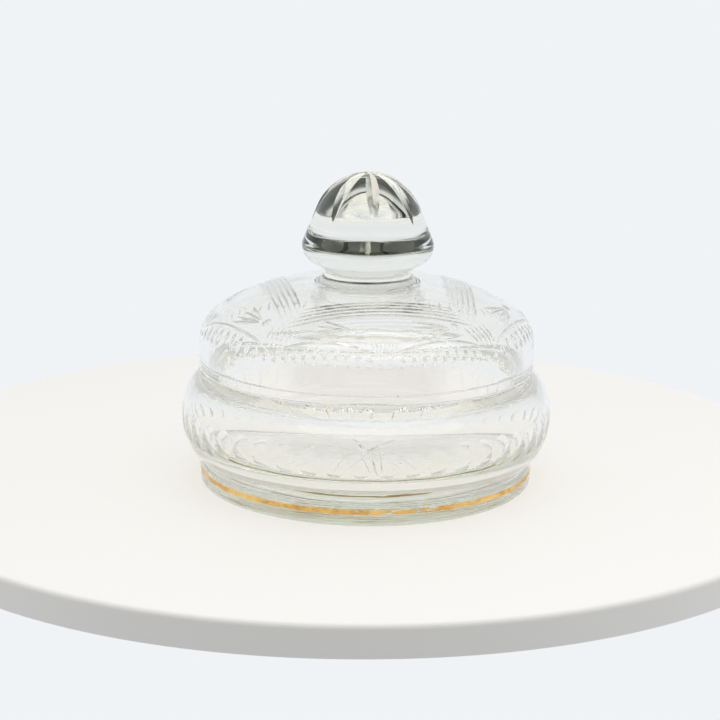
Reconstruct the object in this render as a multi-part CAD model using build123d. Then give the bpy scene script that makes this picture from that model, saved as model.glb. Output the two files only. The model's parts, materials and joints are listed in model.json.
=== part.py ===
# Round cut-glass candy box: a low bulging bowl on a gilt-edged foot, and a
# domed lid with a mushroom knob. The lid lies loose on the bowl's ground rim,
# where a short flange keeps it centred. Millimetres, +Z up, the origin at the
# middle of the face that the box stands on.
from build123d import *
from math import acos, atan2, cos, degrees, hypot, radians, sin, sqrt, tan
import os

# Foot, a thick round plate with polished edges
foot_radius = 67.5
foot_height = 9.2
foot_bottom_round = 1.6
foot_top_round = 0.7

# Gilt line round the foot, in a shallow seat so that it stands just proud
gilt_height = 5.8
gilt_width = 2.0
gilt_thickness = 0.2
gilt_proud = 0.05

# Bowl: the foot's neighbour below, the belly, and the ground rim at the top
belly_radius = 75.0
belly_height = 28.2
belly_lower_bend = 25.7
belly_upper_bend = 23.6
rim_height = 46.7
wall = 4.0
floor_height = 14.5

# Where the lid meets the bowl
mouth_radius = 63.6
mouth_depth = 6.4
flange_clearance = 0.8
flange_wall = 2.8
flange_depth = 5.5
flange_edge_round = 0.8

# Lid: an upright rim, a rounded shoulder and a flatter crown
lid_radius = 67.6
lid_wall_height = 10.6
shoulder_bend = 14.9
shoulder_angle = 58.2
crown_bend = 80.7
crown_flat_drop = 0.3
ledge_height = 2.4
ledge_rise = 1.4

# Neck, flared at its foot
neck_radius = 16.3
neck_flare_bend = 6.1
neck_flare_angle = 76.0
neck_top_angle = 20.5
neck_edge = 0.35

# Knob: a rounded cone over a rolled edge with a rounder underside
knob_radius = 26.4
knob_edge_bend = 5.0
knob_side_angle = 22.3
knob_roll_bend = 8.0
knob_under_angle = 30.0
knob_cap_bend = 22.15

# The cut pattern was laid out by eye. Its middle lies a little to the right of
# the front, and the side that faces the front is shorter than the other three.
pattern_turn = 6.0
front = -90.0
pattern_sides = 4
front_side_angle = 78.0
overrun = 2.0

# Knob: mitre cuts that start at the top and run out low on the side
knob_cuts = 8
knob_cut_reach = 23.4
knob_cut_depth = 1.6
knob_cut_half_angle = 60.0

# Bowl: a row of upright olive cuts
olives = 48
olive_height = 26.8
olive_depth = 0.75
olive_wheel_radius = 16.5
olive_length = 20.0

# Lid: two scallops of short flutes to each side of the pattern
scallops_per_side = 2
flutes_per_scallop = 11
scallop_cusp_radius = 65.3
scallop_peak_radius = 61.6
flute_low_height = 13.2
flute_depth = 0.55
flute_half_angle = 66.0

# Lid: bands of mitre lines that look straight from above and make a square
band_lines = 5
band_corner_radius = 56.0
band_corner_step = 2.7
band_depth = 0.6
band_half_angle = 50.0

# Lid: strokes from each corner of the square towards the scallops
strokes = 5
stroke_step = 1.9
stroke_gap = 1.2
stroke_low_radius = 65.2
stroke_depth = 0.6

# Lid: a round hollow over each scallop, from which its sprig grows
dot_place_radius = 56.0
dot_place_share = 0.78
dot_radius = 2.0
dot_depth = 0.5

# Foot: a star of long mitre cuts in its underside
star_rays = 16
star_reach = 50.0
star_depth = 0.7
star_half_angle = 58.0

# Sizes that follow from those above
flange_radius = mouth_radius - flange_clearance
flange_bore = flange_radius - flange_wall
ledge_radius = lid_radius - wall
ledge_low = rim_height + ledge_height
ledge_high = ledge_low + ledge_rise
lid_wall_top = rim_height + lid_wall_height
shoulder_r = lid_radius - shoulder_bend
shoulder_end_r = shoulder_r + shoulder_bend * cos(radians(shoulder_angle))
shoulder_end_z = lid_wall_top + shoulder_bend * sin(radians(shoulder_angle))
crown_r = shoulder_end_r - crown_bend * cos(radians(shoulder_angle))
crown_z = shoulder_end_z - crown_bend * sin(radians(shoulder_angle))
crown_flat_z = crown_z + crown_bend - crown_flat_drop
crown_flat_r = crown_r + sqrt(crown_bend**2 - (crown_bend - crown_flat_drop) ** 2)
neck_flare_r = neck_radius + neck_flare_bend
neck_flare_z = crown_flat_z + neck_edge + neck_flare_bend * sin(radians(neck_flare_angle))
neck_top_r = neck_flare_r - neck_flare_bend * cos(radians(neck_top_angle))
neck_top_z = neck_flare_z - neck_flare_bend * sin(radians(neck_top_angle))
knob_edge_r = knob_radius - knob_edge_bend
knob_roll_r = knob_radius - knob_roll_bend
knob_under_r = knob_roll_r + knob_roll_bend * sin(radians(knob_under_angle))
knob_under_z = neck_top_z + (knob_under_r - neck_top_r) * tan(radians(knob_under_angle))
knob_edge_z = knob_under_z + knob_roll_bend * cos(radians(knob_under_angle))
knob_side_r = knob_edge_r + knob_edge_bend * cos(radians(knob_side_angle))
knob_side_z = knob_edge_z + knob_edge_bend * sin(radians(knob_side_angle))
knob_cap_r = knob_cap_bend * cos(radians(knob_side_angle))
knob_cap_z = knob_side_z + (knob_side_r - knob_cap_r) / tan(radians(knob_side_angle))
knob_centre_z = knob_cap_z - knob_cap_bend * sin(radians(knob_side_angle))
knob_top_z = knob_centre_z + knob_cap_bend
other_side_angle = (360 - front_side_angle) / (pattern_sides - 1)
side_angles = [front_side_angle] + [other_side_angle] * (pattern_sides - 1)
corner_turns = [sum(side_angles[:i]) - front_side_angle / 2 for i in range(pattern_sides)]


def on_arc(r, z, bend, angle):
    """The point of a profile arc at an angle up from level."""
    return (r + bend * cos(radians(angle)), z + bend * sin(radians(angle)))


def bow(r, z, bend, first, last):
    """A profile arc about (r, z) from one angle to another."""
    ends = [on_arc(r, z, bend, angle) for angle in (first, (first + last) / 2, last)]
    return ThreePointArc(*ends)


def turned(pieces):
    """A solid turned about +Z. Its half section is given as arcs and points:
    straight lines join the points, and each arc to its neighbours."""
    edges = []
    last = None
    first = None
    for piece in pieces:
        start = piece if isinstance(piece, tuple) else tuple(piece @ 0)[:2]
        end = piece if isinstance(piece, tuple) else tuple(piece @ 1)[:2]
        if last is not None and start != last:
            edges.append(Line(last, start))
        if not isinstance(piece, tuple):
            edges.append(piece)
        first = first or start
        last = end
    edges.append(Line(last, first))
    return revolve(Plane.XZ * make_face(edges), axis=Axis.Z)


def lid_surface(r, depth=0.0):
    """The point at radius r of the lid's outside, or this deep in the glass."""
    if r > shoulder_end_r:
        angle = degrees(acos((r - shoulder_r) / shoulder_bend))
        return on_arc(shoulder_r, lid_wall_top, shoulder_bend - depth, angle)
    angle = degrees(acos((r - crown_r) / crown_bend))
    return on_arc(crown_r, crown_z, crown_bend - depth, angle)


def mitre(start, middle, end, height, half_angle, hollow=False):
    """The V-shaped track of a wheel, in the plane y = 0. Its bottom is the arc
    through three points, from the left one to the right one, and it runs past
    both ends. It opens away from the arc's centre, or towards it if hollow."""
    (ax, az), (bx, bz), (cx, cz) = start, middle, end
    twice_area = 2 * (ax * (bz - cz) + bx * (cz - az) + cx * (az - bz))
    a2, b2, c2 = ax**2 + az**2, bx**2 + bz**2, cx**2 + cz**2
    x = (a2 * (bz - cz) + b2 * (cz - az) + c2 * (az - bz)) / twice_area
    z = (a2 * (cx - bx) + b2 * (ax - cx) + c2 * (bx - ax)) / twice_area
    bottom = hypot(ax - x, az - z)
    past = degrees(overrun / bottom)
    low = degrees(atan2(cz - z, cx - x)) - past
    high = degrees(atan2(az - z, ax - x)) + past
    half_width = height * tan(radians(half_angle))
    top = bottom - height if hollow else bottom + height
    outline = Polyline((bottom, 0), (top, -half_width), (top, half_width), close=True)
    upwards = Axis((0, 0, 0), (0, -1, 0))
    ring = revolve(make_face(outline), axis=upwards, revolution_arc=high - low)
    return Pos(x, 0, z) * Rot(0, -low, 0) * ring


def turned_to(cutter, turns):
    """Copies of a cutter that points along +X, turned about the axis."""
    return [Rot(0, 0, front + pattern_turn + turn) * cutter for turn in turns]


def evenly(count):
    """The turns of a number of like cuts, evenly round the axis."""
    return [360 / count * i for i in range(count)]


def scallop_turns(share):
    """The turn in each scallop that lies at this share of its width."""
    turns = []
    for corner, angle in zip(corner_turns, side_angles):
        width = angle / scallops_per_side
        turns += [corner + width * (i + share) for i in range(scallops_per_side)]
    return turns


def make_foot():
    low_r = foot_radius - foot_bottom_round
    high_r = foot_radius - foot_top_round
    high_z = foot_height - foot_top_round
    seat_r = foot_radius + gilt_proud - gilt_thickness
    seat_low = gilt_height - gilt_width / 2
    seat_high = gilt_height + gilt_width / 2
    plate = turned([
        (0, 0),
        bow(low_r, foot_bottom_round, foot_bottom_round, -90, 0),
        (foot_radius, seat_low),
        (seat_r, seat_low),
        (seat_r, seat_high),
        (foot_radius, seat_high),
        bow(high_r, high_z, foot_top_round, 0, 90),
        (0, foot_height),
    ])
    left, top, right = (-star_reach, 0), (0, star_depth), (star_reach, 0)
    ray = mitre(left, top, right, star_depth + overrun, star_half_angle, hollow=True)
    return plate - turned_to(ray, evenly(star_rays)[: star_rays // 2])


def make_gilt_band():
    outer = foot_radius + gilt_proud
    inner = outer - gilt_thickness
    low = gilt_height - gilt_width / 2
    high = gilt_height + gilt_width / 2
    return turned([(inner, low), (outer, low), (outer, high), (inner, high)])


def make_bowl():
    lower_r = belly_radius - belly_lower_bend
    upper_r = belly_radius - belly_upper_bend
    foot_angle = degrees(asin_share(foot_height - belly_height, belly_lower_bend))
    rim_angle = degrees(asin_share(rim_height - belly_height, belly_upper_bend))
    inner_r = belly_radius - wall
    inner_low_bend = belly_height - floor_height
    narrowing = inner_r - mouth_radius
    throat = rim_height - mouth_depth - belly_height
    inner_high_bend = (narrowing**2 + throat**2) / (2 * narrowing)
    throat_angle = degrees(asin_share(throat, inner_high_bend))
    vessel = turned([
        (0, foot_height),
        bow(lower_r, belly_height, belly_lower_bend, foot_angle, 0),
        bow(upper_r, belly_height, belly_upper_bend, 0, rim_angle),
        (mouth_radius, rim_height),
        bow(inner_r - inner_high_bend, belly_height, inner_high_bend, throat_angle, 0),
        bow(inner_r - inner_low_bend, belly_height, inner_low_bend, 0, -90),
        (0, floor_height),
    ])
    lean = degrees(asin_share(olive_height - belly_height, belly_lower_bend))
    out = belly_lower_bend - olive_depth + olive_wheel_radius
    x, z = on_arc(lower_r, belly_height, out, lean)
    wheel = Pos(x, 0, z) * Rot(0, -lean, 0) * Cylinder(olive_wheel_radius, olive_length)
    return vessel - turned_to(wheel, evenly(olives))


def asin_share(rise, bend):
    """The angle on an arc at this height above its centre, in radians."""
    return atan2(rise, sqrt(bend**2 - rise**2))


def lid_flutes():
    """The flutes under each scallop, whose upper ends follow its arc."""
    cutters = []
    low_rise = rim_height + flute_low_height - lid_wall_top
    low = on_arc(shoulder_r, lid_wall_top, shoulder_bend, degrees(asin_share(low_rise, shoulder_bend)))
    for i in range(flutes_per_scallop):
        share = (i + 1 / 2) / flutes_per_scallop
        peak_share = 1 - (2 * share - 1) ** 2
        top_r = scallop_cusp_radius + (scallop_peak_radius - scallop_cusp_radius) * peak_share
        top = lid_surface(top_r)
        angle = degrees(asin_share((top[1] + low[1]) / 2 - lid_wall_top, shoulder_bend))
        middle = on_arc(shoulder_r, lid_wall_top, shoulder_bend - flute_depth, angle)
        flute = mitre(top, middle, low, flute_depth + overrun, flute_half_angle)
        cutters += turned_to(flute, scallop_turns(share))
    return cutters


def lid_bands():
    """The lines of the square. The wheel stands square to the glass in the middle
    of each line, so its plane passes through the centre of the crown's bend."""
    cutters = []
    for corner, angle in zip(corner_turns, side_angles):
        for i in range(band_lines):
            end_r, end_z = lid_surface(band_corner_radius - i * band_corner_step)
            half_length = end_r * sin(radians(angle / 2))
            r = end_r * cos(radians(angle / 2)) - crown_r
            z = end_z - crown_z
            left, right = (-half_length, hypot(r, z)), (half_length, hypot(r, z))
            middle = (0, crown_bend - band_depth)
            line = mitre(left, middle, right, band_depth + overrun, band_half_angle)
            lean = degrees(atan2(r, z))
            placed = Pos(crown_r, 0, crown_z) * Rot(0, lean, 0) * Rot(0, 0, -90) * line
            cutters += turned_to(placed, [corner + angle / 2])
    return cutters


def lid_strokes():
    """Short strokes that go on from the square's corners."""
    high_r = band_corner_radius + stroke_gap
    middle_r = (high_r + stroke_low_radius) / 2
    high = lid_surface(high_r)
    low = lid_surface(stroke_low_radius)
    middle = lid_surface(middle_r, stroke_depth)
    stroke = mitre(high, middle, low, stroke_depth + overrun, band_half_angle)
    cutters = []
    for i in range(strokes):
        aside = (i - (strokes - 1) / 2) * stroke_step
        cutters += turned_to(stroke, [corner + aside for corner in corner_turns])
    return cutters


def lid_dots():
    """A shallow round hollow over each scallop."""
    ball_radius = (dot_radius**2 + dot_depth**2) / (2 * dot_depth)
    x, z = lid_surface(dot_place_radius, dot_depth - ball_radius)
    ball = Pos(x, 0, z) * Rot(90, 0, 0) * Sphere(ball_radius)
    return turned_to(ball, scallop_turns(dot_place_share))


def make_lid():
    flange_low = rim_height - flange_depth
    round_r = flange_radius - flange_edge_round
    round_z = flange_low + flange_edge_round
    inner_shoulder = shoulder_bend - wall
    inner_crown = crown_bend - wall
    flat_angle = degrees(acos((crown_flat_r - crown_r) / crown_bend))
    shell = turned([
        (flange_bore, flange_low),
        bow(round_r, round_z, flange_edge_round, -90, 0),
        (flange_radius, rim_height),
        (lid_radius, rim_height),
        bow(shoulder_r, lid_wall_top, shoulder_bend, 0, shoulder_angle),
        bow(crown_r, crown_z, crown_bend, shoulder_angle, flat_angle),
        (0, crown_flat_z),
        (0, crown_z + inner_crown),
        bow(crown_r, crown_z, inner_crown, 90, shoulder_angle),
        bow(shoulder_r, lid_wall_top, inner_shoulder, shoulder_angle, 0),
        (ledge_radius, ledge_high),
        (flange_bore, ledge_low),
    ])
    for cutters in (lid_flutes(), lid_bands(), lid_strokes(), lid_dots()):
        shell = shell - cutters
    return shell


def make_neck():
    return turned([
        (0, crown_flat_z),
        (neck_flare_r - neck_flare_bend * cos(radians(neck_flare_angle)), crown_flat_z),
        bow(neck_flare_r, neck_flare_z, neck_flare_bend, 180 + neck_flare_angle, 180 + neck_top_angle),
        (0, neck_top_z),
    ])


def make_knob():
    knob = turned([
        (0, neck_top_z),
        (neck_top_r, neck_top_z),
        bow(knob_roll_r, knob_edge_z, knob_roll_bend, knob_under_angle - 90, 0),
        bow(knob_edge_r, knob_edge_z, knob_edge_bend, 0, knob_side_angle),
        bow(0, knob_centre_z, knob_cap_bend, knob_side_angle, 90),
    ])
    tip_z = knob_cap_z - (knob_cut_reach - knob_cap_r) / tan(radians(knob_side_angle))
    top, tip = (0, knob_top_z), (knob_cut_reach, tip_z)
    lean = (90 + knob_side_angle) / 2
    middle = on_arc(0, knob_centre_z, knob_cap_bend - knob_cut_depth, lean)
    cut = mitre(top, middle, tip, knob_cut_depth + overrun, knob_cut_half_angle)
    return knob - turned_to(cut, evenly(knob_cuts))


pieces = {
    "foot_disc": make_foot(),
    "gilt_band": make_gilt_band(),
    "bowl": make_bowl(),
    "lid_shell": make_lid(),
    "knob_neck": make_neck(),
    "knob": make_knob(),
}

os.makedirs("parts", exist_ok=True)
for name, piece in pieces.items():
    piece.label = name
    export_step(piece, f"parts/{name}.step")
    size = piece.bounding_box().size
    print(f"{name}: {piece.volume / 1000:.1f} cm3, {size.X:.2f} x {size.Y:.2f} x {size.Z:.2f} mm")
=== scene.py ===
import json
import math

import bpy
import numpy as np
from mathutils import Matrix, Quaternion, Vector, noise

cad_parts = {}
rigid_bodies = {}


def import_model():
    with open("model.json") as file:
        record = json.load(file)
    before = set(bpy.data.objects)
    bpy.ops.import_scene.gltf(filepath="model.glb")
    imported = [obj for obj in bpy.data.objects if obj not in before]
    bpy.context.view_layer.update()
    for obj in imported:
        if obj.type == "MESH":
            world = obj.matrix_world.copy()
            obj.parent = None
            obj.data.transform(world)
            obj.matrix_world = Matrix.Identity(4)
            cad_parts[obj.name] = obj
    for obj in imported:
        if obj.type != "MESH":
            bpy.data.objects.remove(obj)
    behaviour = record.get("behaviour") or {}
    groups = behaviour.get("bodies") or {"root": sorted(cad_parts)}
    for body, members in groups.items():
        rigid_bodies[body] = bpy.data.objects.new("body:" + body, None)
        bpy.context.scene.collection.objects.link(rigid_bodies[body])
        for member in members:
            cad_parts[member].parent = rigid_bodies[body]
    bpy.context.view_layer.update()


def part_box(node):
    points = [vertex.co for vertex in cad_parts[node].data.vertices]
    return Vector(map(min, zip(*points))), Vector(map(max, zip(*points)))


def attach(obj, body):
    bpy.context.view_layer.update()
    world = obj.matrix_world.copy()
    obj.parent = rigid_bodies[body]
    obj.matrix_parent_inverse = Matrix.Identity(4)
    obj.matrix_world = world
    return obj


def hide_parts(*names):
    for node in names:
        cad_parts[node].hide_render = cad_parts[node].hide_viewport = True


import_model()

mm = 0.001

# The bowl and its foot are one piece of thick clear glass, turned and polished.
# A wheel then cut a row of upright olives round the belly and a star into the
# underside. The rim is ground flat, and the lid's flange hangs inside it.
_, foot_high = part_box("foot_disc")
_, bowl_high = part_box("bowl")
foot_radius = foot_high[0]
foot_top = foot_high[2]
belly_radius = bowl_high[0]
rim_height = bowl_high[2]
foot_bottom_round = 1.6 * mm
foot_top_round = 0.7 * mm
belly_height = 28.2 * mm
belly_lower_bend = 25.7 * mm
belly_upper_bend = 23.6 * mm
wall = 4.0 * mm
floor_height = 14.5 * mm
mouth_radius = 63.6 * mm
mouth_depth = 6.4 * mm
rim_round = 0.5 * mm
seat_gap = 0.04 * mm
front_degrees = -90
pattern_turn = math.radians(front_degrees + 6)
columns = 360
row_length = 1.1 * mm
straight_row_length = 3 * row_length
fewest_arc_rows = 5
tiny = 1e-9


def line(start, end, rows):
    """A straight stretch of an outline: rows of radius, height and outward normal."""
    start, end = np.array(start), np.array(end)
    along = (end - start) / np.linalg.norm(end - start)
    share = np.linspace(0, 1, rows + 1)[:, None]
    points = start + (end - start) * share
    return np.column_stack([points, np.full(len(points), along[1]), np.full(len(points), -along[0])])


def arc(centre_r, centre_z, bend, first, last):
    """A round stretch of an outline, between two angles up from level."""
    rows = max(fewest_arc_rows, round(abs(last - first) * bend / row_length))
    angle = np.linspace(first, last, rows + 1)
    out = np.column_stack([np.cos(angle), np.sin(angle)])
    points = np.array([centre_r, centre_z]) + bend * out
    return np.column_stack([points, out if last > first else -out])


def stretches(*parts):
    """An outline: the given arcs, joined by straight stretches through the points."""
    outline = []
    for part in parts:
        start = part if isinstance(part, tuple) else tuple(part[0, :2])
        if outline and not np.allclose(outline[-1][-1, :2], start, atol=tiny):
            last = outline[-1][-1, :2]
            rows = max(1, math.ceil(math.dist(last, start) / straight_row_length))
            outline.append(line(last, start, rows))
        elif not outline and isinstance(part, tuple):
            outline.append(np.array([[*part, 0, 0]]))
        if not isinstance(part, tuple):
            outline.append(part)
    return [stretch for stretch in outline if len(stretch) > 1]


def all_rows(outline):
    """The rows of an outline, with each place where two stretches meet once."""
    return np.vstack([outline[0][:1]] + [stretch[1:] for stretch in outline])


def turn_on_lathe(name, outline):
    """A closed solid of revolution. The outline runs from the axis to the axis
    with the glass on its left. Each corner of a face keeps the true normal."""
    rows = all_rows(outline)
    angle = np.linspace(0, 2 * math.pi, columns, endpoint=False)
    round_x, round_y = np.cos(angle), np.sin(angle)
    verts, rings = [], []
    for r, z in rows[:, :2]:
        if r < tiny:
            rings.append(np.full(columns, len(verts)))
            verts.append((0, 0, z))
        else:
            rings.append(np.arange(columns) + len(verts))
            verts.extend(zip(r * round_x, r * round_y, np.full(columns, z)))
    faces, normals = [], []
    index = 0
    for stretch in outline:
        for low, high in zip(stretch[:-1], stretch[1:]):
            here, above = rings[index], rings[index + 1]
            index += 1
            for i in range(columns):
                j = (i + 1) % columns
                corners = [(here[i], i, low), (here[j], j, low), (above[j], j, high), (above[i], i, high)]
                if here[i] == here[j]:
                    corners.pop(1)
                elif above[i] == above[j]:
                    corners.pop(2)
                faces.append([corner[0] for corner in corners])
                normals.extend((row[2] * round_x[k], row[2] * round_y[k], row[3]) for _, k, row in corners)
    mesh = bpy.data.meshes.new(name)
    mesh.from_pydata(verts, [], faces)
    store = mesh.attributes.new("true_normal", "FLOAT_VECTOR", "CORNER")
    store.data.foreach_set("vector", np.array(normals, dtype=np.float32).ravel())
    return link(name, mesh)


def link(name, mesh):
    piece = bpy.data.objects.new(name, mesh)
    bpy.context.scene.collection.objects.link(piece)
    return piece


def follow(outline):
    """The outline as one walk: distance, radius, height and normal at each row."""
    rows = all_rows(outline)
    step = np.hypot(*np.diff(rows[:, :2], axis=0).T)
    return np.column_stack([np.concatenate([[0], np.cumsum(step)]), rows])


def spot(walk, way, turn):
    """The point and normal of a turned surface, by way along its outline and turn."""
    r, z, out, up = (np.interp(way, walk[:, 0], walk[:, k]) for k in (1, 2, 3, 4))
    point = np.array([r * math.cos(turn), r * math.sin(turn), z])
    normal = np.array([out * math.cos(turn), out * math.sin(turn), up])
    return point, normal / np.linalg.norm(normal)


# The share of a cut's length that the wheel runs on by at each end, clear of
# the glass
run_out = 0.1


def wheel_track(spots, depth, edge, past=run_out, evenness=2):
    """The closed track that a wheel leaves along a path on the glass. It runs
    out at both ends, and the more even it is, the nearer to them. The edge is
    the wheel's outline across the path, from side to side, lowest at zero."""
    share = np.linspace(-past, 1 + past, len(spots))
    points = np.array([point for point, _ in spots])
    normals = np.array([normal for _, normal in spots])
    along = np.gradient(points, axis=0)
    along /= np.linalg.norm(along, axis=1)[:, None]
    across = np.cross(normals, along)
    bottom = points - normals * (depth * (1 - abs(2 * share - 1) ** evenness))[:, None]
    edge = np.array(edge)
    verts = (
        bottom[:, None, :]
        + across[:, None, :] * edge[None, :, 0, None]
        + normals[:, None, :] * edge[None, :, 1, None]
    ).reshape(-1, 3)
    wide = len(edge)
    faces = [tuple(range(wide))[::-1], tuple(range(len(verts) - wide, len(verts)))]
    for i in range(len(spots) - 1):
        for j in range(wide):
            a, b = i * wide + j, i * wide + (j + 1) % wide
            faces.append((a, b, b + wide, a + wide))
    mesh = bpy.data.meshes.new("wheel_track")
    mesh.from_pydata(verts.tolist(), [], faces)
    return link("wheel_track", mesh)


def node_adder(tree):
    """A function that adds one node to a tree and gives the node's outputs. Each
    of its sockets takes a plain value or another node's output."""

    def add(kind, sockets=None, **settings):
        node = tree.nodes.new(kind)
        for name, value in settings.items():
            setattr(node, name, value)
        for socket, source in (sockets or {}).items():
            if isinstance(source, bpy.types.NodeSocket):
                tree.links.new(source, node.inputs[socket])
            else:
                node.inputs[socket].default_value = source
        return node.outputs

    return add


def work_out(add, operation, *terms):
    """A sum of one step, from values and other nodes' outputs."""
    return add("ShaderNodeMath", dict(enumerate(terms)), operation=operation)[0]


def new_tree(name, sizes):
    """A Geometry Nodes tree for work on the glass, with its inputs by name and
    the function that adds a node to it."""
    tree = bpy.data.node_groups.new(name, "GeometryNodeTree")
    inputs = {"Geometry": "Geometry", **sizes, "Glass": "Material"}
    for socket, kind in inputs.items():
        tree.interface.new_socket(socket, in_out="INPUT", socket_type="NodeSocket" + kind)
    tree.interface.new_socket("Geometry", in_out="OUTPUT", socket_type="NodeSocketGeometry")
    return tree, tree.nodes.new("NodeGroupInput").outputs, node_adder(tree)


def take_away(add, given, copies):
    """The end of a tree: the copies are cut out of the glass, and what is left
    is made real and given its material."""
    cut_glass = add(
        "GeometryNodeMeshBoolean",
        {"Mesh 1": given["Geometry"], "Mesh 2": copies},
        operation="DIFFERENCE",
        solver="MANIFOLD",
    )
    real = add("GeometryNodeRealizeInstances", {"Geometry": cut_glass["Mesh"]})
    glass = add("GeometryNodeSetMaterial", {"Geometry": real[0], "Material": given["Glass"]})
    add("NodeGroupOutput", {"Geometry": glass[0]})


def cutting_tree():
    """Geometry Nodes: one wheel track is copied evenly round the axis and every
    copy is cut out of the glass."""
    sizes = {"Wheel track": "Object", "Cuts": "Int", "Spacing": "Float", "First angle": "Float"}
    tree, given, add = new_tree("Cut round the axis", sizes)
    places = add("GeometryNodePoints", {"Count": given["Cuts"]})[0]
    number = add("GeometryNodeInputIndex")[0]
    angle = work_out(add, "MULTIPLY_ADD", number, given["Spacing"], given["First angle"])
    turn = add("ShaderNodeCombineXYZ", {"Z": angle})[0]
    track = add("GeometryNodeObjectInfo", {"Object": given["Wheel track"]})["Geometry"]
    placing = {"Points": places, "Instance": track, "Rotation": turn}
    copies = add("GeometryNodeInstanceOnPoints", placing)[0]
    take_away(add, given, copies)
    return tree


cut_round_the_axis = cutting_tree()


def work_on(blank, name, tree, inputs):
    """Sets a tree to work on a blank, with its inputs by their names."""
    modifier = blank.modifiers.new(name, "NODES")
    modifier.node_group = tree
    inputs = {**inputs, "Glass": clear_glass}
    for item in tree.interface.items_tree:
        if item.in_out == "INPUT" and item.name in inputs:
            modifier[item.identifier] = inputs[item.name]


def cut(blank, track, cuts, first=0.0, spacing=None):
    """Adds one pass at the wheel: a number of like cuts round the axis."""
    if spacing is None:
        spacing = 2 * math.pi / cuts
    inputs = {"Wheel track": track, "Cuts": cuts, "Spacing": spacing, "First angle": pattern_turn + first}
    work_on(blank, "wheel", cut_round_the_axis, inputs)


# Faces that meet at more than this have a crisp edge between them. A corner
# that is left from the lathe still has its normal at close to full length
sharp_angle = math.radians(9)
whole_normal = 0.9


def take_off_the_wheel(name, blank, satin=0.0):
    """Makes the cut blank a plain mesh. Uncut faces get the lathe's true normals,
    and the cuts keep crisp edges and, where they are satin, a mark for that."""
    depsgraph = bpy.context.evaluated_depsgraph_get()
    mesh = bpy.data.meshes.new_from_object(blank.evaluated_get(depsgraph), depsgraph=depsgraph)
    mesh.name = name
    mesh.shade_smooth()
    mesh.set_sharp_from_angle(angle=sharp_angle)
    normals = np.zeros(len(mesh.loops) * 3, dtype=np.float32)
    mesh.corner_normals.foreach_get("vector", normals)
    lathe = np.zeros(len(mesh.loops) * 3, dtype=np.float32)
    mesh.attributes["true_normal"].data.foreach_get("vector", lathe)
    normals, lathe = normals.reshape(-1, 3), lathe.reshape(-1, 3)
    length = np.linalg.norm(lathe, axis=1)
    uncut = length > whole_normal
    normals[uncut] = lathe[uncut] / length[uncut][:, None]
    mesh.attributes.remove(mesh.attributes["true_normal"])
    mesh.normals_split_custom_set(normals.tolist())
    marks = np.where(uncut, 0.0, satin)
    mesh.attributes.new("satin", "FLOAT", "CORNER").data.foreach_set("value", marks.astype(np.float32))
    for track in [piece for piece in bpy.data.objects if piece.name.startswith("wheel_track")]:
        bpy.data.objects.remove(track)
    bpy.data.objects.remove(blank)
    return link(name, mesh)


def mark_faces(mesh, name, where):
    """Keeps a finish on the mesh: 1 on the faces whose middle passes the test."""
    marks = [float(where(math.hypot(*face.center.xy), face.center.z)) for face in mesh.polygons]
    mesh.attributes.new(name, "FLOAT", "FACE").data.foreach_set("value", marks)


def new_material(name):
    """An empty material, and the function that adds a node to it."""
    material = bpy.data.materials.new(name)
    material.use_nodes = True
    material.node_tree.nodes.clear()
    return material, node_adder(material.node_tree)


def grain(add, place, scale, detail):
    """A random grain, for ripples, pits, lines and patches."""
    return add("ShaderNodeTexNoise", {"Vector": place, "Scale": scale, "Detail": detail})["Fac"]


def blend(add, share, first, second):
    """A colour between two, each a plain colour or another node's output."""
    return add("ShaderNodeMix", {"Factor": share, "A": first, "B": second}, data_type="RGBA")["Result"]


glass_refraction = 1.52
glass_tint = (0.72, 0.75, 0.62, 1)
glass_tint_density = 5.0
polished_colour = (0.994, 0.992, 0.981, 1)
# Painted shade: the grey green given to the foot's turned side stands in for the table's shadow seen through
# it
foot_shade_colour = (0.78, 0.83, 0.77, 1)
through_colour = (0.985, 0.984, 0.978, 1)
ripple_scale = 55
pit_scale = 1500
lathe_line_scale = (12, 12, 1400)
lathe_line_share = 1.1
relief_height = 0.4 * mm
relief_strength = 0.25
ground_roughness = 0.3
satin_roughness = 0.14
times_turned_back = 2.5
let_out_share = 0.55


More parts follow.
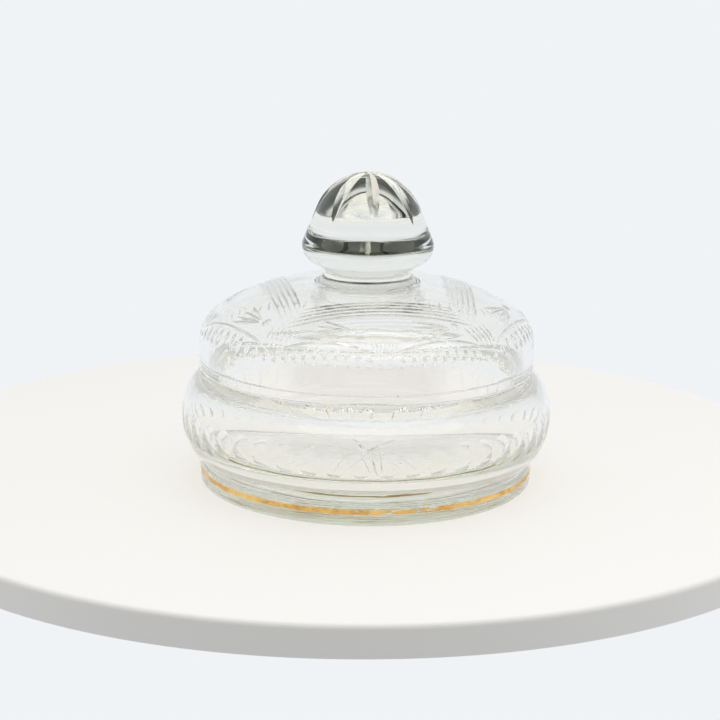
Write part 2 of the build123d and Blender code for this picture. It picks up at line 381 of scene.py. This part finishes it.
def polished_glass():
    """Clear glass with a tint that deepens with its thickness. Polished faces
    have a faint ripple, ground ones are matt and pitted, and those marked as
    turned have fine level lines from the lathe and a darker grey green colour
    that is painted shade, for the shadow on the table seen through the foot.
    A share of the light that has been turned back inside the glass three times
    leaves it, so that deep cuts are grey and not black. In parts marked as
    solid it stays inside."""
    material, add = new_material("clear_glass")
    marks = ("ground", "turned", "solid", "satin")
    ground, turned, solid, satin = (add("ShaderNodeAttribute", attribute_name=mark)["Fac"] for mark in marks)
    where = add("ShaderNodeTexCoord")["Object"]
    ripple = grain(add, where, ripple_scale, 1)
    pits = work_out(add, "MULTIPLY", grain(add, where, pit_scale, 3), ground)
    level = add("ShaderNodeMapping", {"Vector": where, "Scale": lathe_line_scale})["Vector"]
    lines = work_out(add, "MULTIPLY", grain(add, level, 1, 3), turned)
    relief = work_out(add, "MULTIPLY_ADD", lines, lathe_line_share, work_out(add, "ADD", ripple, pits))
    bump = {"Height": relief, "Strength": relief_strength, "Distance": relief_height}
    ground_matt = work_out(add, "MULTIPLY", ground, ground_roughness)
    glass = {
        # Faces marked as turned are darkened to a grey green, as painted shade for the shadow under the foot
        "Base Color": blend(add, turned, polished_colour, foot_shade_colour),
        "Roughness": work_out(add, "MULTIPLY_ADD", satin, satin_roughness, ground_matt),
        "IOR": glass_refraction,
        "Transmission Weight": 1.0,
        "Normal": add("ShaderNodeBump", bump)["Normal"],
    }
    surface = add("ShaderNodeBsdfPrincipled", glass)[0]
    through = add("ShaderNodeBsdfTransparent", {"Color": through_colour})[0]
    path = add("ShaderNodeLightPath")
    turned_back = work_out(add, "GREATER_THAN", path["Glossy Depth"], times_turned_back)
    share = work_out(add, "MULTIPLY_ADD", solid, -let_out_share, let_out_share)
    leaving = work_out(add, "MULTIPLY", turned_back, share)
    for rays in (leaving, path["Is Diffuse Ray"], path["Is Shadow Ray"]):
        surface = add("ShaderNodeMixShader", {0: rays, 1: surface, 2: through})[0]
    tint = {"Color": glass_tint, "Density": glass_tint_density}
    inside = add("ShaderNodeVolumeAbsorption", tint)[0]
    add("ShaderNodeOutputMaterial", {"Surface": surface, "Volume": inside})
    return material


clear_glass = polished_glass()

lower_centre = belly_radius - belly_lower_bend
upper_centre = belly_radius - belly_upper_bend
inner_radius = belly_radius - wall
inner_low_bend = belly_height - floor_height
narrowing = inner_radius - mouth_radius
throat = rim_height - mouth_depth - belly_height
inner_high_bend = (narrowing**2 + throat**2) / (2 * narrowing)
inner_high_angle = math.asin(throat / inner_high_bend)
rim = rim_height - seat_gap / 2
belly_foot_angle = math.asin((foot_top - belly_height) / belly_lower_bend)
belly_rim_angle = math.asin((rim - rim_round - belly_height) / belly_upper_bend)
belly_rim_radius = upper_centre + belly_upper_bend * math.cos(belly_rim_angle)
quarter = math.pi / 2

belly_side = stretches(
    arc(lower_centre, belly_height, belly_lower_bend, belly_foot_angle, 0),
    arc(upper_centre, belly_height, belly_upper_bend, 0, belly_rim_angle),
)
bowl_outline = stretches(
    (0, 0),
    arc(foot_radius - foot_bottom_round, foot_bottom_round, foot_bottom_round, -quarter, 0),
    arc(foot_radius - foot_top_round, foot_top - foot_top_round, foot_top_round, 0, quarter),
    *belly_side,
    (belly_rim_radius - rim_round / 2, rim),
    arc(mouth_radius + rim_round, rim - rim_round, rim_round, quarter, 2 * quarter),
    arc(inner_radius - inner_high_bend, belly_height, inner_high_bend, inner_high_angle, 0),
    arc(inner_radius - inner_low_bend, belly_height, inner_low_bend, 0, -quarter),
    (0, floor_height),
)
bowl_blank = turn_on_lathe("bowl_blank", bowl_outline)

# Olives: short upright cuts with a round-edged wheel
olives = 48
olive_height = 26.8 * mm
olive_half_length = 6.2 * mm
olive_depth = 0.58 * mm
olive_wheel_bend = 22 * mm
olive_wheel_half_width = 6 * mm
olive_spots = 17


def round_edge(bend, half_width, steps=8):
    """The outline of a wheel with a round edge, from side to side."""
    half_angle = math.asin(half_width / bend)
    angles = np.linspace(-half_angle, half_angle, steps + 1)
    return [(bend * math.sin(a), bend * (1 - math.cos(a))) for a in angles]


def v_edge(height, half_angle):
    """The outline of a wheel with a V edge, from side to side."""
    half_width = height * math.tan(math.radians(half_angle))
    return [(-half_width, height), (0, 0), (half_width, height)]


belly_walk = follow(belly_side)
olive_middle = np.interp(olive_height, belly_walk[:, 2], belly_walk[:, 0])
olive_reach = olive_half_length * (1 + 2 * run_out)
olive_ways = np.linspace(olive_middle - olive_reach, olive_middle + olive_reach, olive_spots)
olive_path = [spot(belly_walk, way, 0) for way in olive_ways]
olive = wheel_track(olive_path, olive_depth, round_edge(olive_wheel_bend, olive_wheel_half_width))
cut(bowl_blank, olive, olives)

# A star of long V cuts in the underside, which meet in the middle
star_rays = 16
star_reach = 50 * mm
star_depth = 0.5 * mm
star_wheel_height = star_depth + 1 * mm
star_half_angle = 58
star_spots = 25
star_run_out = 0.05
long_evenness = 6
under = np.array([0, 0, -1])
star_end = star_reach * (1 + 2 * star_run_out)
star_path = [(np.array([x, 0, 0]), under) for x in np.linspace(-star_end, star_end, star_spots)]
star_edge = v_edge(star_wheel_height, star_half_angle)
ray = wheel_track(star_path, star_depth, star_edge, past=star_run_out, evenness=long_evenness)
cut(bowl_blank, ray, star_rays // 2, spacing=2 * math.pi / star_rays)

# The rim is ground, and the side of the foot is left as it was turned and given a darker colour that is
# painted shade
face_slack = 0.02 * mm
bowl_glass = take_off_the_wheel("bowl_glass", bowl_blank)
mark_faces(bowl_glass.data, "ground", lambda r, z: z > rim - face_slack)
mark_faces(bowl_glass.data, "turned", lambda r, z: r > foot_radius - face_slack and z < foot_top)
mark_faces(bowl_glass.data, "solid", lambda r, z: False)
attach(bowl_glass, "bowl")
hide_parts("bowl", "foot_disc")

# The gilt line is gold that was brushed on to the foot and fired. It is a thin
# skin, uneven at its edges, and rubbed through where the foot has been handled.
gilt_low, gilt_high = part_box("gilt_band")
gilt_gap = 0.01 * mm
gilt_radius = foot_radius + gilt_gap
gilt_thickness = 0.04 * mm
gilt_columns = 900
gilt_rows = 10
gilt_edge_waver = 0.2 * mm
gilt_edge_gap = 0.1 * mm
waver_scale = 14
upper_edge_shift = Vector((0, 0, 9))
worn_from = math.radians(front_degrees + 6)
worn_to = math.radians(front_degrees + 34)
worn_by_hands = 0.25
worn_at_edges = 0.12
worn_through = 0.52
wear_scale = 22
wear_row = 0.28
gold_colour = (0.94, 0.60, 0.19, 1)
thin_gold_colour = (0.70, 0.35, 0.08, 1)
thin_gold_below = 0.34
full_gold_above = 0.62
thin_gold_roughness = 0.42
full_gold_roughness = 0.24
gold_patch_scale = 260
brush_scale = 420
brush_stretch = (1, 1, 6)
brush_height = 0.05 * mm
brush_strength = 0.3


def gilt_skin():
    """The gold as a strip of small faces, with those that are rubbed off left out."""
    verts, faces = [], []
    middle = (gilt_low[2] + gilt_high[2]) / 2
    half = (gilt_high[2] - gilt_low[2]) / 2 - gilt_edge_gap
    for i in range(gilt_columns):
        angle = 2 * math.pi * i / gilt_columns
        round_about = Vector((math.cos(angle), math.sin(angle), 0))
        low = middle - half + gilt_edge_waver * noise.noise(round_about * waver_scale)
        high = middle + half + gilt_edge_waver * noise.noise(round_about * waver_scale + upper_edge_shift)
        for j in range(gilt_rows + 1):
            verts.append((*(round_about.xy * gilt_radius), low + (high - low) * j / gilt_rows))
    for i in range(gilt_columns):
        angle = 2 * math.pi * (i + 0.5) / gilt_columns
        turned = (angle - worn_from) % (2 * math.pi)
        handled = worn_by_hands if turned < worn_to - worn_from else 0.0
        for j in range(gilt_rows):
            place = Vector((math.cos(angle) * wear_scale, math.sin(angle) * wear_scale, j * wear_row))
            edge_wear = worn_at_edges * abs(2 * (j + 0.5) / gilt_rows - 1)
            if noise.noise(place) + handled + edge_wear > worn_through:
                continue
            here, there = i * (gilt_rows + 1) + j, (i + 1) % gilt_columns * (gilt_rows + 1) + j
            faces.append((here, there, there + 1, here + 1))
    mesh = bpy.data.meshes.new("gilt_line")
    mesh.from_pydata(verts, [], faces)
    return link("gilt_line", mesh)


def gold_material():
    """Brushed fired gold: streaks along the line and thin, duller patches."""
    material, add = new_material("fired_gold")
    where = add("ShaderNodeTexCoord")["Object"]
    patches = grain(add, where, gold_patch_scale, 4)
    streaks = add("ShaderNodeMapping", {"Vector": where, "Scale": brush_stretch})["Vector"]
    brushed = grain(add, streaks, brush_scale, 2)
    bump = {"Height": brushed, "Strength": brush_strength, "Distance": brush_height}
    tone = material.node_tree.nodes.new("ShaderNodeValToRGB")
    thin, full = tone.color_ramp.elements
    thin.position, thin.color = thin_gold_below, thin_gold_colour
    full.position, full.color = full_gold_above, gold_colour
    material.node_tree.links.new(patches, tone.inputs["Fac"])
    dullness = {"Value": patches, "To Min": thin_gold_roughness, "To Max": full_gold_roughness}
    gold = {
        "Base Color": tone.outputs["Color"],
        "Metallic": 1.0,
        "Roughness": add("ShaderNodeMapRange", dullness)["Result"],
        "Normal": add("ShaderNodeBump", bump)["Normal"],
    }
    add("ShaderNodeOutputMaterial", {"Surface": add("ShaderNodeBsdfPrincipled", gold)[0]})
    return material


gilt_line = gilt_skin()
thicken = gilt_line.modifiers.new("thickness", "SOLIDIFY")
thicken.thickness = gilt_thickness
thicken.offset = 1
gilt_line.data.materials.append(gold_material())
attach(gilt_line, "bowl")
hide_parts("gilt_band")

# The lid, its neck and its knob are one piece of glass: a shallow dome with an
# upright rim, a short flange that drops into the bowl's mouth, and a solid
# mushroom knob. Its outside is cut all over, and its flange is ground.
lid_low, lid_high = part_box("lid_shell")
knob_low, knob_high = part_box("knob")
lid_radius = lid_high[0]
flange_low = lid_low[2]
flange_gap = 0.8 * mm
flange_wall = 2.8 * mm
flange_radius = mouth_radius - flange_gap
flange_bore = flange_radius - flange_wall
flange_round = 0.8 * mm
seat = rim_height + seat_gap / 2
seat_round = 0.5 * mm
lid_wall_height = 10.6 * mm
lid_wall_top = rim_height + lid_wall_height
shoulder_bend = 14.9 * mm
shoulder_angle = math.radians(58.2)
crown_bend = 80.7 * mm
ledge_height = 2.4 * mm
ledge_rise = 1.4 * mm
ledge_low = rim_height + ledge_height
ledge_high = ledge_low + ledge_rise
shoulder_centre = lid_radius - shoulder_bend
shoulder_end = shoulder_centre + shoulder_bend * math.cos(shoulder_angle)
crown_centre = shoulder_end - crown_bend * math.cos(shoulder_angle)
crown_base = lid_wall_top + (shoulder_bend - crown_bend) * math.sin(shoulder_angle)
neck_radius = 16.3 * mm
neck_flare_bend = 6.1 * mm
neck_top = knob_low[2]
flare_centre = neck_radius + neck_flare_bend
crown_end_angle = math.acos((flare_centre - crown_centre) / crown_bend)
flare_height = crown_base + crown_bend * math.sin(crown_end_angle) + neck_flare_bend
neck_top_angle = math.asin((flare_height - neck_top) / neck_flare_bend)
neck_top_radius = flare_centre - neck_flare_bend * math.cos(neck_top_angle)
knob_radius = knob_high[0]
knob_edge_bend = 5.0 * mm
knob_side_angle = math.radians(22.3)
knob_roll_bend = 8 * mm
knob_under_angle = math.radians(30)
knob_cap_bend = 22.15 * mm
knob_edge_centre = knob_radius - knob_edge_bend
knob_roll_centre = knob_radius - knob_roll_bend
knob_under_r = knob_roll_centre + knob_roll_bend * math.sin(knob_under_angle)
knob_under_z = neck_top + (knob_under_r - neck_top_radius) * math.tan(knob_under_angle)
knob_edge_z = knob_under_z + knob_roll_bend * math.cos(knob_under_angle)
knob_side_r = knob_edge_centre + knob_edge_bend * math.cos(knob_side_angle)
knob_side_z = knob_edge_z + knob_edge_bend * math.sin(knob_side_angle)
knob_cap_r = knob_cap_bend * math.cos(knob_side_angle)
knob_cap_z = knob_side_z + (knob_side_r - knob_cap_r) / math.tan(knob_side_angle)
knob_centre_z = knob_cap_z - knob_cap_bend * math.sin(knob_side_angle)

lid_cut_side = stretches(
    (lid_radius, seat + seat_round),
    arc(shoulder_centre, lid_wall_top, shoulder_bend, 0, shoulder_angle),
    arc(crown_centre, crown_base, crown_bend, shoulder_angle, crown_end_angle),
)
knob_cut_side = stretches(
    arc(knob_roll_centre, knob_edge_z, knob_roll_bend, knob_under_angle - quarter, 0),
    arc(knob_edge_centre, knob_edge_z, knob_edge_bend, 0, knob_side_angle),
    arc(0, knob_centre_z, knob_cap_bend, knob_side_angle, quarter),
)
neck_side = stretches(
    arc(flare_centre, flare_height, neck_flare_bend, 3 * quarter, 2 * quarter + neck_top_angle),
    tuple(knob_cut_side[0][0, :2]),
)
inner_crown = crown_bend - wall
inner_shoulder = shoulder_bend - wall
lid_inside = stretches(
    (0, crown_base + inner_crown),
    arc(crown_centre, crown_base, inner_crown, quarter, shoulder_angle),
    arc(shoulder_centre, lid_wall_top, inner_shoulder, shoulder_angle, 0),
    (lid_radius - wall, ledge_high),
    (flange_bore, ledge_low),
    (flange_bore, flange_low),
    arc(flange_radius - flange_round, flange_low + flange_round, flange_round, -quarter, 0),
    (flange_radius, seat),
    arc(lid_radius - seat_round, seat + seat_round, seat_round, -quarter, 0),
)
lid_outline = lid_inside + lid_cut_side + neck_side + knob_cut_side
lid_blank = turn_on_lathe("lid_blank", lid_outline)
lid_walk = follow(lid_cut_side)
knob_walk = follow(knob_cut_side)


def way_at(walk, r):
    """How far along the outside a radius lies, past the widest place."""
    widest = np.flatnonzero(walk[:, 1] > walk[:, 1].max() - tiny)[-1]
    falling = walk[widest:]
    return np.interp(-r, -falling[:, 1], falling[:, 0])


def on_lid(r, turn):
    return spot(lid_walk, way_at(lid_walk, r), turn)


# The pattern has four sides, of which the front one is a little shorter. For
# each length of side: its angle, how many there are, and where the first begins
front_side = math.radians(78)
other_sides = 3
other_side = (2 * math.pi - front_side) / other_sides
sides = ((front_side, 1, -front_side / 2), (other_side, other_sides, front_side / 2))

# Short flutes under a ring of scallops, two to a side
flutes_per_scallop = 11
scallop_cusp_radius = 67.2 * mm
scallop_peak_radius = 62.5 * mm
scallop_line_gap = 0.8 * mm
scallop_line_depth = 0.3 * mm
scallop_wheel_height = 1 * mm
scallop_half_angle = 66
scallop_spots = 25
scallop_run_out = 0.02
flute_low = 13.2 * mm
flute_depth = 0.5 * mm
flute_wheel_height = 1.2 * mm
flute_half_angle = 70
flute_spots = 13
flute_evenness = 3


def scallop_radius(share):
    """How far out a scallop's arc lies, from one cusp at 0 to the next at 1."""
    rise = scallop_cusp_radius - scallop_peak_radius
    return scallop_cusp_radius - rise * (1 - (2 * share - 1) ** 2)


flute_edge = v_edge(flute_wheel_height, flute_half_angle)
scallop_edge = v_edge(scallop_wheel_height, scallop_half_angle)

for side, count, first in sides:
    scallop = side / 2
    for i in range(flutes_per_scallop):
        share = (i + 0.5) / flutes_per_scallop
        ways = np.linspace(flute_low, way_at(lid_walk, scallop_radius(share)), flute_spots)
        path = [spot(lid_walk, way, 0) for way in ways]
        track = wheel_track(path, flute_depth, flute_edge, evenness=flute_evenness)
        cut(lid_blank, track, 2 * count, first + share * scallop, scallop)
    path = []
    for share in np.linspace(0, 1, scallop_spots):
        path.append(on_lid(scallop_radius(share) - scallop_line_gap, share * scallop))
    track = wheel_track(path, scallop_line_depth, scallop_edge, past=scallop_run_out, evenness=long_evenness)
    cut(lid_blank, track, 2 * count, first, scallop)

# A band of straight V lines along each side
band_lines = 5
band_corner_radius = 57.2 * mm
band_corner_step = 2.7 * mm
band_depth = 0.28 * mm
band_wheel_height = 0.8 * mm
band_half_angle = 72
band_spots = 31
band_run_out = 0.025
halvings = 30


def straight_over_lid(end_radius, side):
    """A line over the crown between two corners. The wheel stands square to the
    glass in the middle of the line, so its plane holds the bend's centre."""
    (x, _, z), _ = on_lid(end_radius, 0)
    reach, rise = x * math.cos(side / 2) - crown_centre, z - crown_base
    reach, rise = reach / math.hypot(reach, rise), rise / math.hypot(reach, rise)
    half_length = x * math.sin(side / 2) * (1 + 2 * band_run_out)
    path = []
    for aside in np.linspace(-half_length, half_length, band_spots):
        low, high = 0.0, crown_bend
        for _ in range(halvings):
            out = (low + high) / 2
            r = math.hypot(crown_centre + out * reach, aside)
            if math.hypot(r - crown_centre, out * rise) < crown_bend:
                low = out
            else:
                high = out
        path.append(on_lid(r, math.atan2(aside, crown_centre + out * reach)))
    return path


band_edge = v_edge(band_wheel_height, band_half_angle)
for side, count, first in sides:
    for i in range(band_lines):
        path = straight_over_lid(band_corner_radius - i * band_corner_step, side)
        track = wheel_track(path, band_depth, band_edge, past=band_run_out, evenness=long_evenness)
        cut(lid_blank, track, count, first + side / 2, side)

# A fan of broad strokes at each corner, and one of fine strokes in the cusp
# between the corners: how many, where they start and end, how far they spread
# at the start and at the end, their depth, and their place along the side
fans = (
    (5, 57.0 * mm, 65.4 * mm, math.radians(2.6), math.radians(1.7), 0.28 * mm, 0),
    (7, 60.2 * mm, 65.4 * mm, math.radians(1.7), math.radians(0.9), 0.18 * mm, 0.5),
)
fan_half_angle = 67
fan_spots = 13
wheel_spare = 0.6 * mm
for strokes, high, low, high_step, low_step, depth, place in fans:
    for i in range(strokes):
        number = i - (strokes - 1) / 2
        path = []
        for share in np.linspace(-run_out, 1 + run_out, fan_spots):
            turn = number * (high_step + (low_step - high_step) * share)
            path.append(on_lid(high + (low - high) * share, turn))
        track = wheel_track(path, depth, v_edge(depth + wheel_spare, fan_half_angle))
        for side, count, first in sides:
            cut(lid_blank, track, count, first + place * side, side)

# A sprig over each scallop: a round hollow with four leaves that fan out of it
sprig_share = 0.78
dot_place = 56 * mm
dot_radius = 2.0 * mm
dot_depth = 0.4 * mm
dot_wheel_half_width = 3.2 * mm
dot_spots = 13
leaf_gap = 3.0 * mm
leaf_length = 15.0 * mm
leaf_spreads = (-5.5 * mm, -2 * mm, 1.5 * mm, 4.2 * mm)
leaf_depth = 0.4 * mm
leaf_half_angle = 67
leaf_spots = 17
dot_bend = (dot_radius**2 + dot_depth**2) / (2 * dot_depth)
dot_end = 1 + 2 * run_out
dot_path = [on_lid(dot_place + share * dot_radius, 0) for share in np.linspace(-dot_end, dot_end, dot_spots)]
sprig = [wheel_track(dot_path, dot_depth, round_edge(dot_bend, dot_wheel_half_width))]
for spread in leaf_spreads:
    path = []
    for share in np.linspace(-run_out, 1 + run_out, leaf_spots):
        away = leaf_gap + leaf_length * share
        path.append(on_lid(dot_place + spread * away / (leaf_gap + leaf_length), -away / dot_place))
    sprig.append(wheel_track(path, leaf_depth, v_edge(leaf_depth + wheel_spare, leaf_half_angle)))
for track in sprig:
    for side, count, first in sides:
        cut(lid_blank, track, 2 * count, first + sprig_share * side / 2, side / 2)

# Small chips along the flange, where the lid has been set down on the rim
flange_chips = 90
chip_size = 2.1 * mm
chip_height = flange_low + 0.9 * mm
chip_seed = 5
chip_tumble = (3, 3, 3)
least_chip = (0.3, 0.3, 0.25)
greatest_chip = (1.3, 1.0, 0.7)


def chipping_tree():
    """Geometry Nodes: rough lumps are scattered round an edge and cut away."""
    sizes = {"Chips": "Int", "Edge radius": "Float", "Edge height": "Float"}
    sizes.update({"Chip size": "Float", "Seed": "Int"})
    tree, given, add = new_tree("Chip an edge", sizes)

    def chance(low, high):
        ends = {"Min": low, "Max": high, "Seed": given["Seed"]}
        return add("FunctionNodeRandomValue", ends, data_type="FLOAT_VECTOR")["Value"]

    turn = add("ShaderNodeSeparateXYZ", {0: chance((0, 0, 0), (2 * math.pi, 0, 0))})["X"]
    across = work_out(add, "MULTIPLY", work_out(add, "COSINE", turn), given["Edge radius"])
    along = work_out(add, "MULTIPLY", work_out(add, "SINE", turn), given["Edge radius"])
    on_edge = add("ShaderNodeCombineXYZ", {"X": across, "Y": along, "Z": given["Edge height"]})[0]
    lump = {"Radius": given["Chip size"], "Subdivisions": 2}
    placing = {
        "Points": add("GeometryNodePoints", {"Count": given["Chips"], "Position": on_edge})[0],
        "Instance": add("GeometryNodeMeshIcoSphere", lump)["Mesh"],
        "Rotation": chance((0, 0, 0), chip_tumble),
        "Scale": chance(least_chip, greatest_chip),
    }
    take_away(add, given, add("GeometryNodeInstanceOnPoints", placing)[0])
    return tree


chipping = {
    "Chips": flange_chips,
    "Edge radius": flange_radius,
    "Edge height": chip_height,
    "Chip size": chip_size,
    "Seed": chip_seed,
}
work_on(lid_blank, "chips", chipping_tree(), chipping)

# Knob: V cuts that start at the top and run out low on its flank, at this share
# of the way from the round cap down to the edge
knob_cuts = 8
knob_cut_depth = 1.6 * mm
knob_wheel_height = 2.8 * mm
knob_half_angle = 60
knob_spots = 25
knob_cut_share = 0.4
knob_cut_end = knob_cap_r + knob_cut_share * (knob_side_r - knob_cap_r)
knob_ways = np.linspace(way_at(knob_walk, knob_cut_end), knob_walk[-1, 0], knob_spots)
knob_path = [spot(knob_walk, way, 0) for way in knob_ways]
track = wheel_track(knob_path, knob_cut_depth, v_edge(knob_wheel_height, knob_half_angle), past=0.0)
cut(lid_blank, track, knob_cuts)

# The flange is ground up to the seat, and the knob is solid glass
flange_slack = 0.05 * mm
lid_glass = take_off_the_wheel("lid_glass", lid_blank, satin=1.0)
flange_side = flange_radius - flange_slack
mark_faces(lid_glass.data, "ground", lambda r, z: r > flange_side and z < seat + face_slack)
mark_faces(lid_glass.data, "turned", lambda r, z: False)
mark_faces(lid_glass.data, "solid", lambda r, z: z > neck_top)
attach(lid_glass, "lid")
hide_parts("lid_shell", "knob_neck", "knob")

# The stage: a round pale table in a plain pale studio of soft light. It is open
# towards the camera, where the room is dim
table_radius = 198 * mm
table_centre = (-6 * mm, 33 * mm)
table_thickness = 12 * mm
table_edge_round = 2 * mm
table_edge_rows = 6
table_columns = 240
table_gap = 0.02 * mm
table_colour = (0.96, 0.935, 0.91, 1)
table_roughness = 0.7
studio_colour = (0.871, 0.896, 0.922, 1)
ceiling_colour = (0.66, 0.66, 0.64, 1)
room_colour = (0.045, 0.055, 0.042, 1)


def round_table():
    """A closed disc with a rounded edge, turned like the glass."""
    top, low = -table_gap, -table_thickness
    rows = [(0, top), (table_radius - table_edge_round, top)]
    for angle in np.linspace(quarter, 0, table_edge_rows)[1:]:
        out = table_radius - table_edge_round * (1 - math.cos(angle))
        rows.append((out, top - table_edge_round * (1 - math.sin(angle))))
    rows.extend([(table_radius, low), (0, low)])
    verts, faces = [], []
    for r, z in rows[1:-1]:
        for i in range(table_columns):
            angle = 2 * math.pi * i / table_columns
            x, y = table_centre[0] + r * math.cos(angle), table_centre[1] + r * math.sin(angle)
            verts.append((x, y, z))
    for row in range(len(rows) - 3):
        for i in range(table_columns):
            here, there = row * table_columns + i, row * table_columns + (i + 1) % table_columns
            faces.append((here, here + table_columns, there + table_columns, there))
    faces.append(tuple(range(table_columns)))
    faces.append(tuple(reversed(range(len(verts) - table_columns, len(verts)))))
    mesh = bpy.data.meshes.new("table")
    mesh.from_pydata(verts, [], faces)
    return link("table", mesh)


table = round_table()
table_paint, add = new_material("table_paint")
paint = add("ShaderNodeBsdfPrincipled", {"Base Color": table_colour, "Roughness": table_roughness})[0]
add("ShaderNodeOutputMaterial", {"Surface": paint})
table.data.materials.append(table_paint)

# The studio's colour goes by direction. The ceiling turns into wall between the
# first pair of heights. The opening starts to one side of a plane, and between a
# lower and an upper pair of heights, each with a soft edge from 0 to 1
wall_edge = (0.9, 0.1)
opening_side_edge = (-0.45, -0.75)
opening_low_edge = (-0.65, -0.5)
opening_high_edge = (0.5, 0.3)
world = bpy.data.worlds.new("studio")
bpy.context.scene.world = world
world.use_nodes = True
add = node_adder(world.node_tree)
direction = add("ShaderNodeSeparateXYZ", {0: add("ShaderNodeTexCoord")["Generated"]})


def ramp_over(axis, first, last):
    """0 before the first value, 1 past the last, and smooth between them."""
    ends = {"Value": direction[axis], "From Min": first, "From Max": last}
    return add("ShaderNodeMapRange", ends, interpolation_type="SMOOTHSTEP")["Result"]


opening = ramp_over("Y", *opening_side_edge)
for edge in (opening_low_edge, opening_high_edge):
    opening = work_out(add, "MULTIPLY", opening, ramp_over("Z", *edge))
walls = blend(add, ramp_over("Z", *wall_edge), ceiling_colour, studio_colour)
background = world.node_tree.nodes["Background"]
world.node_tree.links.new(blend(add, opening, walls, room_colour), background.inputs["Color"])

# A broad soft lamp over the table, a little to the front and the right
lamp_size = 1.2
lamp_power = 3.9
lamp_place = (0.1, -0.2, 0.9)
lamp_data = bpy.data.lights.new("softbox", "AREA")
lamp_data.shape = "DISK"
lamp_data.size = lamp_size
lamp_data.energy = lamp_power
lamp = bpy.data.objects.new("softbox", lamp_data)
lamp.location = lamp_place
lamp.rotation_mode = "QUATERNION"
lamp.rotation_quaternion = (-lamp.location).to_track_quat("-Z", "Y")
bpy.context.scene.collection.objects.link(lamp)

# The camera stands in front, a little above the lid, as for the photograph
camera_data = bpy.data.cameras.new("camera")
camera_data.lens = 90
camera_data.sensor_width = 36
camera = bpy.data.objects.new("camera", camera_data)
look_at = Vector((-2.67 * mm, 0, 48.5 * mm))
camera_rise = math.radians(13.51)
camera_roll = math.radians(0.64)
camera_distance = 731.5 * mm
camera.location = look_at + camera_distance * Vector((0, -math.cos(camera_rise), math.sin(camera_rise)))
camera.rotation_mode = "QUATERNION"
level = (look_at - camera.location).to_track_quat("-Z", "Y")
camera.rotation_quaternion = level @ Quaternion((0, 0, 1), camera_roll)
bpy.context.scene.collection.objects.link(camera)
bpy.context.scene.camera = camera
bpy.context.scene.view_settings.view_transform = "Standard"
